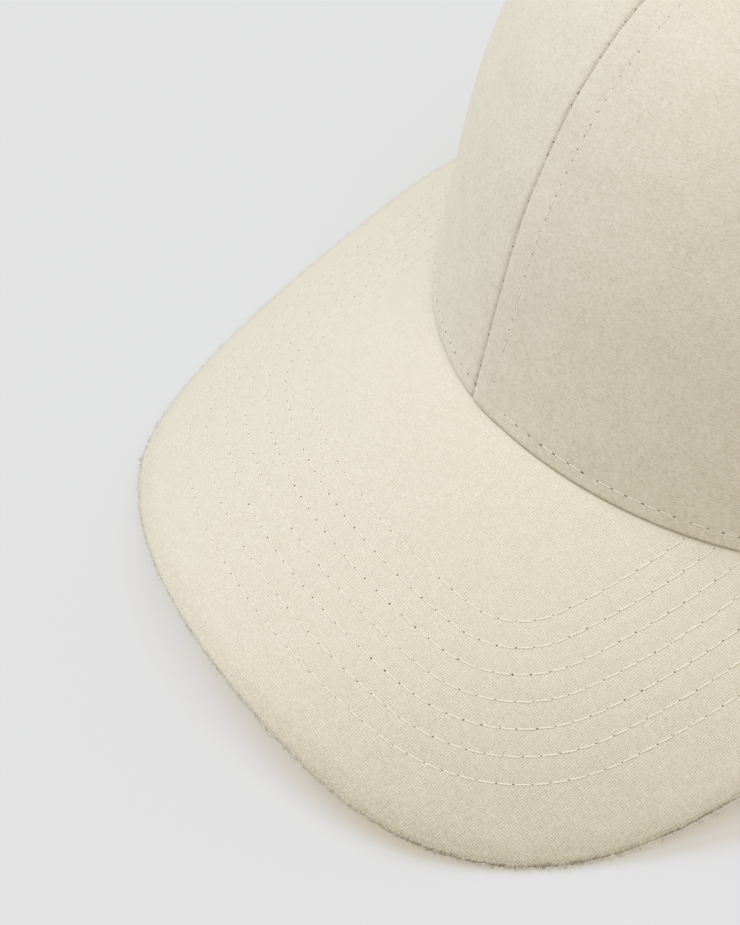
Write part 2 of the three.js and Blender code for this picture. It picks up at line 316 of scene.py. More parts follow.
def pattern_place(x, y):
    """The place in the peak's pattern that lies over a plan position."""
    across = np.sign(x) * np.interp(np.abs(x), BEND_ACROSS, BEND_GRID)
    drop = np.interp(np.abs(across), BEND_GRID, BEND_DROP)
    ahead = JOINT[1] - y
    forward = ahead
    for _ in range(12):
        fall = peak_fall(drop, forward)
        forward = (fall * math.sin(PEAK_SLOPE) + ahead) / math.cos(PEAK_SLOPE)
    return across, forward


def run_arcs(start, arcs, offset, distance):
    """The place in the pattern at a distance from the middle, along arcs that run on smoothly."""
    across = np.zeros_like(distance)
    forward = np.full_like(distance, start + offset)
    heading = np.zeros_like(distance)
    left = np.abs(distance)
    for radius, turn in arcs:
        reach = radius + offset
        part = np.minimum(left / reach, turn)
        across = across + reach * (np.sin(heading + part) - np.sin(heading))
        forward = forward + reach * (np.cos(heading + part) - np.cos(heading))
        heading = heading + part
        left = left - part * reach
    return np.sign(distance) * across, forward


def peak_edge(distance):
    return run_arcs(PEAK_LENGTH, PEAK_EDGE_ARCS, 0.0, distance)


def outside_rim(across, forward):
    """The crown's angle at a place of the peak's pattern, and how far the place is outside the rim."""
    point = peak_surface(across, forward) - JOINT
    back = RIM_HALF_LENGTH - point[..., 1] / math.cos(RIM_SLOPE)
    angle = np.arctan2(point[..., 0], back)
    return angle, np.hypot(point[..., 0], back) - crown_radius(angle, np.zeros_like(angle))


EDGE_END = last_where(
    PEAK_LENGTH, 3 * PEAK_LENGTH, lambda distance: outside_rim(*peak_edge(np.array(distance)))[1] > 0
)
JOINT_END = float(outside_rim(*peak_edge(np.array(EDGE_END)))[0])


def lift_on_peak(angle, depth):
    """How far the crown's edge is lifted off the rim plane to lie on the peak."""
    turn = from_front(angle)
    beyond = np.maximum(np.abs(turn) - JOINT_END, 0)
    held = np.sign(turn) * np.minimum(np.abs(turn), JOINT_END)
    edge = crown_point(held, np.zeros_like(held), depth)
    top = peak_surface(*pattern_place(edge[..., 0], edge[..., 1]))[..., 2]
    share = 1 - smooth_step(beyond, 0, LIFT_FADE_ANGLE)
    return (top + CLOTH_GAP - edge[..., 2]) / math.cos(RIM_SLOPE) * share


ANGLE_GRID = np.linspace(-math.pi, math.pi, 1441)
OUTER_LIFT = lift_on_peak(ANGLE_GRID, 0.0)
INNER_LIFT = lift_on_peak(ANGLE_GRID, WALL)


def crown_cloth(angle, level, depth):
    """A point of the crown's cloth, lifted onto the peak. A negative depth stands proud of it."""
    angle, level, depth = np.broadcast_arrays(angle, level, depth)
    turn = from_front(angle)
    share = np.clip(depth / WALL, 0, 1)
    outer = np.interp(turn, ANGLE_GRID, OUTER_LIFT)
    inner = np.interp(turn, ANGLE_GRID, INNER_LIFT)
    point = crown_point(angle, level, depth, outer + (inner - outer) * share)
    point[..., 2] = np.maximum(point[..., 2], 0.0)
    return point


# Rows of stitching on the peak

def row_field(across, forward):
    """How far a place lies outside the row nearest to it, and the distance along that row."""
    start = np.array([0.0, FIRST_ROW])
    heading = 0.0
    beyond = np.ones(np.shape(across), dtype=bool)
    offset = np.zeros(np.shape(across))
    turned = []
    for radius, turn in ROW_ARCS:
        centre = start - radius * np.array([math.sin(heading), math.cos(heading)])
        side = np.abs(across) - centre[0]
        ahead = forward - centre[1]
        offset = np.where(beyond, np.hypot(side, ahead) - radius, offset)
        part = np.minimum(np.arctan2(side, ahead) - heading, turn)
        turned.append((radius, np.where(beyond, part, 0)))
        beyond = beyond & (part == turn)
        heading = heading + turn
        start = centre + radius * np.array([math.sin(heading), math.cos(heading)])
    row = np.clip(np.round(offset / ROW_SPACING), 0, ROW_COUNT - 1) * ROW_SPACING
    along = sum((radius + row) * part for radius, part in turned)
    return offset - row, along * np.sign(across)


def row_groove(across, forward):
    """How far the cloth is drawn in beside the row of stitches nearest to a place."""
    from_row, along = row_field(across, forward)
    pull = 0.6 + 0.4 * np.cos(2 * math.pi * along / PEAK_STITCH)
    (narrow_depth, narrow), (wide_depth, wide) = ROW_GROOVES
    return narrow_depth * bell(from_row, narrow) * pull + wide_depth * bell(from_row, wide)


def peak_upper(across, forward):
    """A point of the peak's upper cloth as it is drawn in by its stitching."""
    return peak_point(across, forward, row_groove(across, forward))


def peak_lower(across, forward):
    return peak_point(across, forward, PEAK_THICKNESS - row_groove(across, forward))


# Making meshes

def numbered(rows, columns, closed=False):
    """The numbers of a grid's points, row by row. A closed grid comes back to its first column."""
    numbers = np.arange(rows * columns).reshape(rows, columns)
    return np.append(numbers, numbers[:, :1], axis=1) if closed else numbers


def quads(*lines):
    """Quads between neighbouring lines of points, given by their numbers."""
    numbers = np.stack(lines)
    corners = [numbers[:-1, :-1], numbers[:-1, 1:], numbers[1:, 1:], numbers[1:, :-1]]
    return np.stack(corners, -1).reshape(-1, 4)


def fan(ring, centre):
    """Triangles from a closed ring of points to its centre."""
    return [[k, ahead, centre] for k, ahead in zip(ring, [*ring[1:], ring[0]])]


def repeated(faces, bodies, size):
    """The faces of equal bodies that follow each other, each with so many points."""
    return [[first + k for k in face] for first in range(0, bodies * size, size) for face in faces]


def strand_faces(strands, steps, sides):
    """The faces of closed strands, each made of rings of points."""
    ring = list(range(sides))
    last = (steps - 1) * sides
    body = quads(*numbered(steps, sides, closed=True)).tolist()
    body += [ring[::-1], [last + k for k in ring]]
    return repeated(body, strands, steps * sides)


def capped(sections, ends):
    """A closed body of rings of points, with a fan to a middle point over each end."""
    numbers = numbered(*sections.shape[:2], closed=True)
    count = numbers[-1, -2] + 1
    faces = quads(*numbers).tolist()
    faces += fan(numbers[0, -2::-1].tolist(), count)
    faces += fan(numbers[-1, :-1].tolist(), count + 1)
    return np.concatenate([sections.reshape(-1, 3), ends]), faces


def shell(outer, inner, closed=False):
    """A closed wall of cloth between two grids of points of the same size."""
    over = numbered(*outer.shape[:2], closed)
    under = over + outer.shape[0] * outer.shape[1]
    faces = [quads(*over), quads(*under)[:, ::-1], quads(under[0], over[0]), quads(over[-1], under[-1])]
    if not closed:
        faces += [quads(over[:, 0], under[:, 0]), quads(under[:, -1], over[:, -1])]
    return np.concatenate([outer.reshape(-1, 3), inner.reshape(-1, 3)]), np.concatenate(faces)


def add_object(name, data):
    made = bpy.data.objects.new(name, data)
    bpy.context.scene.collection.objects.link(made)
    return made


def add_piece(name, points, faces, materials, replaced=(), attributes=None, face_material=None):
    """A mesh piece that rides on the cap. Faces that point inwards on the whole are turned."""
    mesh = bpy.data.meshes.new(name)
    mesh.from_pydata(points.tolist(), [], [list(face) for face in faces])
    mesh.update()
    mesh.validate()
    for material in materials:
        mesh.materials.append(material)
    for key, values in (attributes or {}).items():
        stored = mesh.attributes.new(key, "FLOAT_VECTOR", "POINT")
        stored.data.foreach_set("vector", values.astype(np.float32).ravel())
    if face_material is not None:
        mesh.polygons.foreach_set("material_index", np.asarray(face_material, dtype=np.int32))
    mesh.polygons.foreach_set("use_smooth", np.ones(len(mesh.polygons), dtype=bool))
    piece = add_object(name, mesh)
    if faces_inwards(points, faces):
        mesh.flip_normals()
    mesh.update()
    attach(piece, "root")
    if replaced:
        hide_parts(*replaced)
    return piece


def faces_inwards(points, faces):
    """Whether the volume inside the faces comes out negative."""
    middle = points.mean(0)
    total = 0.0
    for count in (3, 4):
        chosen = np.array([face for face in faces if len(face) == count], dtype=int).reshape(-1, count)
        for k in range(2, count):
            a, b, c = (points[chosen[:, corner]] - middle for corner in (0, k - 1, k))
            total += (a * np.cross(b, c)).sum()
    return total < 0


# Materials

class Nodes:
    """A short way to write a material's nodes."""

    def __init__(self, name):
        self.material = bpy.data.materials.new(name)
        self.material.use_nodes = True
        self.tree = self.material.node_tree

    def put(self, socket, value):
        if isinstance(value, bpy.types.NodeSocket):
            self.tree.links.new(value, socket)
        else:
            socket.default_value = value

    def add(self, kind, *inputs, **settings):
        made = self.tree.nodes.new(kind)
        for key, value in settings.items():
            setattr(made, key, value)
        for index, value in enumerate(inputs):
            self.put(made.inputs[index], value)
        return made

    def fill(self, node, values):
        """Inputs given by their names, with _ for a space."""
        for key, value in values.items():
            self.put(node.inputs[key.replace("_", " ")], value)
        return node

    def named(self, kind, **values):
        return self.fill(self.tree.nodes.new(kind), values)

    def finish(self, **values):
        self.fill(self.tree.nodes["Principled BSDF"], values)
        return self.material

    def attribute(self, name):
        return self.add("ShaderNodeAttribute", attribute_name=name).outputs["Vector"]

    def parts(self, value):
        return self.add("ShaderNodeSeparateXYZ", value).outputs

    def math(self, operation, *inputs):
        return self.add("ShaderNodeMath", *inputs, operation=operation).outputs[0]

    def times(self, first, second):
        return self.math("MULTIPLY", first, second)

    def total(self, shares, start=0.0):
        """The sum of values, each times its share, and a start."""
        for value, share in shares:
            start = self.math("MULTIPLY_ADD", value, share, start)
        return start

    def vector(self, operation, *inputs):
        return self.add("ShaderNodeVectorMath", *inputs, operation=operation).outputs[0]

    def noise(self, place, scale, detail=2.0, roughness=0.5):
        return self.named("ShaderNodeTexNoise", Vector=place, Scale=scale, Detail=detail,
                          Roughness=roughness).outputs[0]

    def mapped(self, place, turn, size):
        """Coordinates turned about their normal and measured in cells of a size along each axis."""
        turned = self.add("ShaderNodeVectorRotate", place, rotation_type="Z_AXIS")
        self.put(turned.inputs["Angle"], turn)
        return self.vector("DIVIDE", turned.outputs[0], size)

    def spread(self, value, low, high, to_low=0.0, to_high=1.0):
        return self.add("ShaderNodeMapRange", value, low, high, to_low, to_high).outputs[0]

    def ramp(self, factor, stops):
        made = self.add("ShaderNodeValToRGB", factor)
        elements = made.color_ramp.elements
        while len(elements) < len(stops):
            elements.new(0.5)
        for element, (place, colour) in zip(elements, stops):
            element.position = place
            element.color = (*colour, 1)
        return made.outputs[0]

    def bump(self, height, distance):
        return self.named("ShaderNodeBump", Distance=distance, Height=height).outputs[0]


WOOL_DARK = (0.42, 0.365, 0.26)
WOOL_MIDDLE = (0.735, 0.680, 0.548)
WOOL_LIGHT = (0.86, 0.815, 0.695)
BRIGHTNESS = 0.66  # the wool's middle place between dark and light
WANDER = 0.0009  # how far the yarns wander from straight lines
YARN = 0.00044
TONE_LENGTH = 9 * YARN  # how far a yarn keeps its tone
TICK_SPACING = 0.00062  # from one pulled thread beside a seam to the next
PLY_LENGTH = 0.00055  # from one ply of a sewing thread to the next
RIB_WIDTH = 0.00055  # of the twill


def plain_weave(nodes, place):
    """A plain weave at a place: its height, 0 to 1, the gaps between its yarns, and their tones."""
    cells = nodes.parts(nodes.vector("DIVIDE", place, (YARN, YARN, YARN)))
    waves = [nodes.math("ABSOLUTE", nodes.math("SINE", nodes.times(cells[k], math.pi))) for k in (0, 1)]
    floors = [nodes.math("FLOOR", cells[k]) for k in (0, 1)]
    over = nodes.math("FLOORED_MODULO", nodes.math("ADD", *floors), 2.0)
    under = nodes.math("SUBTRACT", 1.0, over)
    swells = [nodes.total([(waves[1 - k], 0.45)], 0.55) for k in (0, 1)]
    heights = [nodes.times(waves[k], swells[k]) for k in (0, 1)]
    gaps = nodes.times(*(nodes.math("SUBTRACT", 1.0, wave) for wave in waves))
    spans = ((YARN, TONE_LENGTH, 1.0), (TONE_LENGTH, YARN, 1.0))
    tones = [nodes.noise(nodes.vector("DIVIDE", place, span), 1.0, 1.0) for span in spans]
    height, tone = (nodes.math("ADD", nodes.times(warp, over), nodes.times(weft, under))
                    for warp, weft in (heights, tones))
    return height, gaps, tone


def dark_flecks(nodes, place, spacing, radius):
    """Sparse dark flecks of vegetable matter and coarse hair, 0 to 1."""
    cells = nodes.named("ShaderNodeTexVoronoi", Vector=place, Scale=1 / spacing).outputs
    close = nodes.spread(cells["Distance"], radius / spacing, 0.4 * radius / spacing)
    drawn = nodes.add("ShaderNodeSeparateColor", cells["Color"]).outputs[0]
    return nodes.times(close, nodes.spread(drawn, 0.45, 1.0))


def wool(name, weave, nap, nap_turn, contrast, relief_depth, painted_shade_way, painted_shade_span, contrast_gain, painted_darkening):
    """Brushed wool: marled yarn, a nap of short fibres and a plain weave under it, with painted shade in
    its colour.
    """
    nodes = Nodes(name)
    place = nodes.attribute("pattern")
    wander = nodes.named("ShaderNodeTexNoise", Vector=place, Scale=420.0).outputs["Color"]
    drift = nodes.vector("SUBTRACT", wander, (0.5, 0.5, 0.5))
    bent = nodes.vector("ADD", place, nodes.vector("MULTIPLY", drift, (WANDER, WANDER, WANDER)))

    streaks = nodes.noise(nodes.mapped(bent, nap_turn, (0.0010, 0.00034, 0.001)), 1.0, 3.0, 0.6)
    tufts = nodes.noise(nodes.mapped(bent, nap_turn + 0.4, (0.0007, 0.0004, 0.001)), 1.0)
    grain = nodes.noise(bent, 3600.0, 2.0, 0.6)
    clumps = nodes.noise(bent, 650.0, 1.0)
    mottle = nodes.noise(place, 130.0, 4.0, 0.6)
    height, gaps, yarn_tone = plain_weave(nodes, bent)
    open_gaps = nodes.times(gaps, nodes.spread(nodes.noise(bent, 1500.0, 1.0), 0.36, 0.68, 0.15, 3.4))
    flecks = dark_flecks(nodes, bent, 0.0031, 0.00021)
    ticks, shade = seam_marks(nodes, grain, tufts)

    varied = [(streaks, 0.5 * nap + 0.2), (tufts, 0.3 * nap), (grain, 0.5), (mottle, 0.30),
              (clumps, 0.25), (height, 0.18 * weave), (yarn_tone, 0.75 * weave)]
    centred = [(nodes.math("SUBTRACT", value, 0.5), share) for value, share in varied]
    marl = nodes.total(centred + [(open_gaps, -0.48 * weave)])
    # Painted shade: along a direction of the pattern the colour darkens, towards the peak's side on the
    # wearer's left, and the grain's contrast grows; on the crown it grows towards the lower edge, standing
    # in for the stronger shading of the relief where the light grazes it.
    along = nodes.add("ShaderNodeVectorMath", place, painted_shade_way, operation="DOT_PRODUCT")
    painted_shade_ramp = nodes.spread(along.outputs["Value"], *painted_shade_span)
    marl = nodes.times(marl, nodes.total([(painted_shade_ramp, contrast_gain)], 1.0))
    # The ticks and the shade are painted shade: in the small creases the seam's pull makes, in a seam's
    # ditch, under the crown's lower edge and round the peak's edge.
    tone = nodes.total([(marl, contrast), (painted_shade_ramp, -painted_darkening), (flecks, -0.3), (ticks, -0.22),
                        (shade, -0.38)], BRIGHTNESS)
    relief = nodes.total([(streaks, nap), (tufts, 0.6 * nap), (grain, 0.5), (height, 0.6 * weave),
                          (open_gaps, -0.12 * weave), (ticks, -0.7)])

    colour = nodes.ramp(tone, [(0.0, WOOL_DARK), (0.60, WOOL_MIDDLE), (1.0, WOOL_LIGHT)])
    hue = nodes.noise(bent, 1100.0, 3.0, 0.7)
    tint = nodes.ramp(hue, [(0.30, (1.0, 0.99, 0.96)), (0.70, (0.995, 1.0, 1.03))])
    # Painted shade also makes the colour darker and browner where the shade is set.
    painted_shade_colour = nodes.ramp(nodes.times(shade, 0.5), [(0.0, (1.0, 1.0, 1.0)), (1.0, (0.64, 0.61, 0.55))])
    return nodes.finish(
        Base_Color=nodes.vector("MULTIPLY", nodes.vector("MULTIPLY", colour, tint), painted_shade_colour),
        Normal=nodes.bump(relief, relief_depth), Roughness=nodes.spread(tufts, 0.2, 0.8, 0.82, 0.97),
        Sheen_Weight=0.35, Sheen_Roughness=0.45, Sheen_Tint=(1.0, 0.97, 0.91, 1), Specular_IOR_Level=0.2,
    )


def seam_marks(nodes, grain, tufts):
    """The pull of a seam's stitches across the cloth beside it, with painted shade in its small creases,
    and the painted shade of a seam's ditch, of the crown's lower edge and of the peak's edge.
    """
    strength, shade, height = nodes.parts(nodes.attribute("marks_and_painted_shade"))
    turn = nodes.total([(height, 2 * math.pi / TICK_SPACING), (grain, 5.0)])
    pulled = nodes.total([(nodes.math("SINE", turn), 0.5)], 0.5)
    broken = nodes.spread(tufts, 0.36, 0.62, 0.35, 1.25)
    return nodes.times(pulled, strength), nodes.times(shade, broken)


def wool_fibre():
    """The loose ends of the nap, paler than the cloth in its shade."""
    nodes = Nodes("wool_fibre")
    tint = nodes.noise(nodes.add("ShaderNodeTexCoord").outputs["Object"], 600.0)
    return nodes.finish(
        Base_Color=nodes.ramp(tint, [(0.3, (0.72, 0.69, 0.61)), (0.7, (0.86, 0.84, 0.78))]),
        Roughness=nodes.spread(tint, 0.3, 0.7, 0.7, 0.9), Sheen_Weight=0.3, Specular_IOR_Level=0.3,
    )


def thread(name, darker, lighter):
    """Two-ply sewing thread, a little paler and smoother than the cloth."""
    nodes = Nodes(name)
    place = nodes.parts(nodes.attribute("pattern"))
    turn = nodes.times(place[0], 2 * math.pi / PLY_LENGTH)
    ply = nodes.math("SINE", nodes.math("ADD", turn, place[1]))
    return nodes.finish(
        Base_Color=nodes.ramp(nodes.total([(ply, 0.25)], 0.5), [(0.0, darker), (1.0, lighter)]),
        Normal=nodes.bump(ply, 0.00003), Roughness=nodes.spread(ply, -1.0, 1.0, 0.62, 0.5),
        Sheen_Weight=0.35, Sheen_Roughness=0.45,
    )


# A needle hole's colour is painted shade, for the hollow and its pucker.
def needle_hole(name, darkest, palest):
    nodes = Nodes(name)
    speck = nodes.noise(nodes.add("ShaderNodeTexCoord").outputs["Object"], 900.0)
    return nodes.finish(
        Base_Color=nodes.ramp(speck, [(0.35, darkest), (0.65, palest)]),
        Roughness=nodes.spread(speck, 0.3, 0.7, 1.0, 0.9), Specular_IOR_Level=0.0,
    )


def band_cloth():
    """Plain cotton twill of the sweatband."""
    nodes = Nodes("band_twill")
    place = nodes.attribute("pattern")
    ribs = nodes.parts(nodes.mapped(place, math.radians(50), (1.0, RIB_WIDTH, 1.0)))
    wave = nodes.math("SINE", nodes.times(ribs[1], 2 * math.pi))
    grain = nodes.noise(place, 3000.0, 3.0, 0.6)
    tone = nodes.total([(wave, 0.12)], grain)
    return nodes.finish(
        Base_Color=nodes.ramp(tone, [(0.2, (0.56, 0.51, 0.41)), (0.8, (0.74, 0.69, 0.575))]),
        Normal=nodes.bump(nodes.total([(wave, 0.35)], grain), 0.00006),
        Roughness=nodes.spread(grain, 0.3, 0.7, 0.9, 0.8), Sheen_Weight=0.1,
    )


def pale_floor():
    """A pale studio floor, lit from below too, so that its shadows are weak and a little warm."""
    return Nodes("pale_floor").finish(
        Base_Color=(0.288, 0.35, 0.435, 1), Roughness=1.0, Specular_IOR_Level=0.0,
        Emission_Color=(0.4364, 0.364, 0.2646, 1), Emission_Strength=1.0,
    )


PEAK_WOOL = wool("peak_wool", weave=1.0, nap=0.25, nap_turn=math.radians(20), contrast=0.35,
                 relief_depth=0.00008, painted_shade_way=(0.8, 0.6, 0), painted_shade_span=(0.050, 0.085),
                 contrast_gain=0.3, painted_darkening=0.15)
CROWN_WOOL = wool("crown_wool", weave=0.25, nap=1.0, nap_turn=math.radians(-3), contrast=0.54,
                  relief_depth=0.00005, painted_shade_way=(0, 1, 0), painted_shade_span=(0.13, 0.01),
                  contrast_gain=1.2, painted_darkening=0.0)
FIBRE = wool_fibre()
THREAD = thread("thread", (0.80, 0.73, 0.595), (0.905, 0.84, 0.705))
# A paler copy of the thread for the crown's rows: painted light, making up for the shade their sides fall
# into there.
THREAD_PAINTED_LIGHTER = thread("thread_painted_lighter", (0.83, 0.775, 0.655), (0.89, 0.84, 0.73))
# Needle holes are painted shade, paler where the nap covers them.
HOLE = needle_hole("needle_hole", (0.09, 0.07, 0.045), (0.30, 0.25, 0.17))
NAPPED_HOLE = needle_hole("napped_hole", (0.22, 0.18, 0.12), (0.46, 0.40, 0.29))
TWILL = band_cloth()


# The peak

TOP_RINGS = 190
UNDER_RINGS = 40
ROUND_STEPS = 18
PEAK_STATIONS = 350
EDGE_SQUARENESS = 0.52  # 1 is a half round edge, and less is squarer
EDGE_FULLNESS = 0.0007  # how far the edge stands out past the pattern on the wearer's left
EDGE_LEAN = 0.0011  # how far its lower side stands out past its upper lip at the flanks
EDGE_PAINTED_SHADE = 0.2  # how much painted shade darkens the upper cloth where it turns down to the edge
PAINTED_SHADE_WIDTH = 0.004
EDGE_SEAM_TURN = math.radians(112)
SHADE_START = math.radians(52)


def edge_profile(turn):
    """The peak's edge from its upper side round to its lower one, as shares of its half thickness."""
    out = np.sin(turn) ** EDGE_SQUARENESS
    down = -np.sign(np.cos(turn)) * np.abs(np.cos(turn)) ** EDGE_SQUARENESS
    return out, down


def edge_fullness(distance):
    return EDGE_FULLNESS * smooth_step(distance, 0.005, 0.05)


def edge_lean(distance, turn):
    bulge = smooth_step(turn, 0.6, 1.9) * (1 - smooth_step(turn, 2.3, 3.1))
    return EDGE_LEAN * bulge * smooth_step(np.abs(distance), 0.005, 0.06)


def level_outward(across, forward, outward):
    """The level direction in which a direction of the pattern points."""
    step = 0.0005
    ahead = peak_surface(across + step * outward[..., 0], forward + step * outward[..., 1])
    moved = ahead - peak_surface(across, forward)
    moved[..., 2] = 0
    return unit(moved)


def edge_raggedness(distance):
    """The small unevenness of the felted edge."""
    total = np.sin(1270 * distance + 2.2 * np.sin(310 * distance)) + np.sin(2110 * distance + 0.7)
    return 0.00006 * (total + np.sin(590 * distance + 2.0))


def painted_edge_shade(turn, distance):
    """Painted shade on the lower side of the peak's edge and on its rounding, darker by stretches of
    uneven width.
    """
    uneven = np.sin(310 * distance + 2 * np.sin(97 * distance)) + np.sin(743 * distance + 1.3)
    fine = np.sin(1900 * distance + 3 * np.sin(430 * distance))
    start = SHADE_START + math.radians(6) * uneven + math.radians(5) * fine
    strength = (1.5 + 0.2 * uneven) * (0.05 + 0.8 * smooth_step(np.abs(distance), 0.04, 0.085))
    painted_shade = strength * smooth_step(turn, start, start + 0.3)
    return (EDGE_PAINTED_SHADE + painted_shade) * (1 - smooth_step(turn, 2.6, 3.05))


def make_peak():
    share = np.linspace(1, -1, PEAK_STATIONS + 1)
    distance = (share * EDGE_END)[:, None]
    wall = crown_point(share * JOINT_END, np.zeros_like(share), WALL)
    inner = np.stack(pattern_place(wall[:, 0], wall[:, 1]), -1)
    edge = np.stack(peak_edge(share * EDGE_END), -1)
    pattern_length = np.linalg.norm(edge - inner, axis=1)[:, None]
    half = PEAK_THICKNESS / 2
    rounded = np.minimum(half, pattern_length / 3)
    length = pattern_length + edge_fullness(distance) * smooth_step(pattern_length, 0.004, 0.03)
    flat_length = length - rounded

    def place(reach):
        part = (reach / pattern_length)[..., None]
        spot = inner[:, None] * (1 - part) + edge[:, None] * part
        return spot[..., 0], spot[..., 1]

    top_place = place(np.linspace(0, 1, TOP_RINGS) * flat_length)
    under_place = place(np.linspace(1, 0, UNDER_RINGS) * flat_length)
    turn = np.linspace(0, math.pi, ROUND_STEPS + 1)[1:-1]
    out, down = edge_profile(turn)
    seam = EDGE_SEAM_DEPTH * bell(turn - EDGE_SEAM_TURN, 0.16)
    edge_place = place(flat_length + rounded * out - seam + edge_raggedness(distance) * out)
    around = peak_point(*edge_place, half + half * down + 0 * distance)
    lean = edge_lean(distance, turn) * smooth_step(length, 0.004, 0.03)
    around = around + level_outward(*edge.T, unit(edge - inner))[:, None] * lean[..., None]

    sections = np.concatenate([peak_upper(*top_place), around, peak_lower(*under_place)], axis=1)
    points, faces = capped(sections, sections[[0, -1]].mean(1))
    points[:, 2] = np.maximum(points[:, 2], 0.0)
    places = [np.stack([*spot, 0 * spot[0]], -1) for spot in (top_place, edge_place, under_place)]
    from_edge = flat_length * (1 - np.linspace(0, 1, TOP_RINGS))
    # Painted shade: on the upper cloth where it turns down to the edge, and on the lower side of the edge.
    marks_and_painted_shade = np.zeros_like(sections)
    marks_and_painted_shade[:, :TOP_RINGS, 1] = EDGE_PAINTED_SHADE * (1 - smooth_step(from_edge, 0, PAINTED_SHADE_WIDTH))
    marks_and_painted_shade[:, TOP_RINGS:-UNDER_RINGS, 1] = painted_edge_shade(turn, distance)
    attributes = {"pattern": np.concatenate(places, axis=1), "marks_and_painted_shade": marks_and_painted_shade}
    for key, values in attributes.items():
        attributes[key] = np.concatenate([values.reshape(-1, 3), np.zeros((2, 3))])
    add_piece("peak_cloth", points, faces, [PEAK_WOOL], ["peak"], attributes)


# The crown

def seam_fit(width):
    """How far the relief beside a seam is narrowed where the panel runs to its point."""
    return np.minimum(1, width / (2.2 * SEAM_REACH))


def panel_columns(width, height, laps):
    """Distances and lifts of a panel's columns beside one seam, from the seam inwards."""
    inwards = np.concatenate([[0.0013, 0.0018, 0.0024, 0.0031, 0.0038], np.arange(0.0044, 0.0072, 0.0003),
                              [0.0078, 0.0090, SEAM_REACH]])
    if laps:
        turns = np.radians([215, 195, 175, 155, 135, 115, 95])
        distance = np.append(FOLD_EDGE + FOLD_RADIUS + FOLD_RADIUS * np.cos(turns), inwards)
        lift = np.append(FOLD_LIFT - FOLD_RADIUS + FOLD_RADIUS * np.sin(turns), fold_lift(inwards))
        lift = lift - GROOVE_DEPTH * bell(distance - seam_row_place(height), GROOVE_WIDTH)
    else:
        distance = np.append([-TUCKED_UNDER, -0.0003, 0.0, 0.0002, 0.0004, 0.0006, 0.0009], inwards)
        lift = -DITCH_DEPTH * bell(distance + FOLD_EDGE, DITCH_WIDTH)
    return distance * seam_fit(width), lift * seam_fit(width)


def fold_lift(distance):
    """How high the lapped edge stands at a distance from the seam."""
    return FOLD_LIFT * (1 - smooth_step(distance, 0.0045, SEAM_REACH))


def seam_row_place(height):
    return SEAM_ROW + SEAM_ROW_SPREAD * height


def ditch_marks(distance, height, laps):
    """What the cloth's material draws beside a seam: its pulled stitches, the painted shade in its ditch
    and under the crown's lower edge, and where.
    """
    strength = 0.0 if laps else 1.0
    beyond = np.maximum(distance, 0)
    # Painted shade in the ditch beside the fold, and along the crown's lower edge where it lies on the
    # peak.
    shade = 0.6 * bell(beyond, 0.00075) * strength + 0.95 * bell(height, 0.0006)
    return np.stack([bell(beyond, 0.0012) * strength, shade, height + 0 * distance], -1)


def crown_rows():
    """Distances of a panel's rows from its lower edge."""
    near = [0.0, 0.00012, 0.0003, 0.00055, 0.00085, 0.0013, 0.0018, 0.0023, 0.0027, 0.0030, 0.0033,
            EDGE_ROW, 0.0037, 0.0040, 0.0043, 0.0047]
    top = np.interp(TOP_LEVEL, LEVEL_GRID, HEIGHT_GRID)
    return np.concatenate([near, np.linspace(0.0053, top, 172)])


def edge_depth(height):
    """How far the folded lower edge is rounded in at a distance from it."""
    short = np.clip(1 - height / EDGE_ROUNDING, 0, 1)
    return EDGE_ROUNDING * (1 - np.sqrt(1 - short * short))


def crown_wave(angle, height):
    """Slow unevenness of the crown's cloth, none at its lower edge."""
    total = np.zeros(np.broadcast(angle, height).shape)
    for turns, tall, phase in ((5, 31, 0.4), (9, 47, 1.9), (14, 22, 4.1), (11, 71, 2.7)):
        total = total + np.sin(turns * angle + phase + 2 * np.sin(tall * height + phase))
    return CROWN_WAVE * total / 4 * smooth_step(height, 0, 0.03)


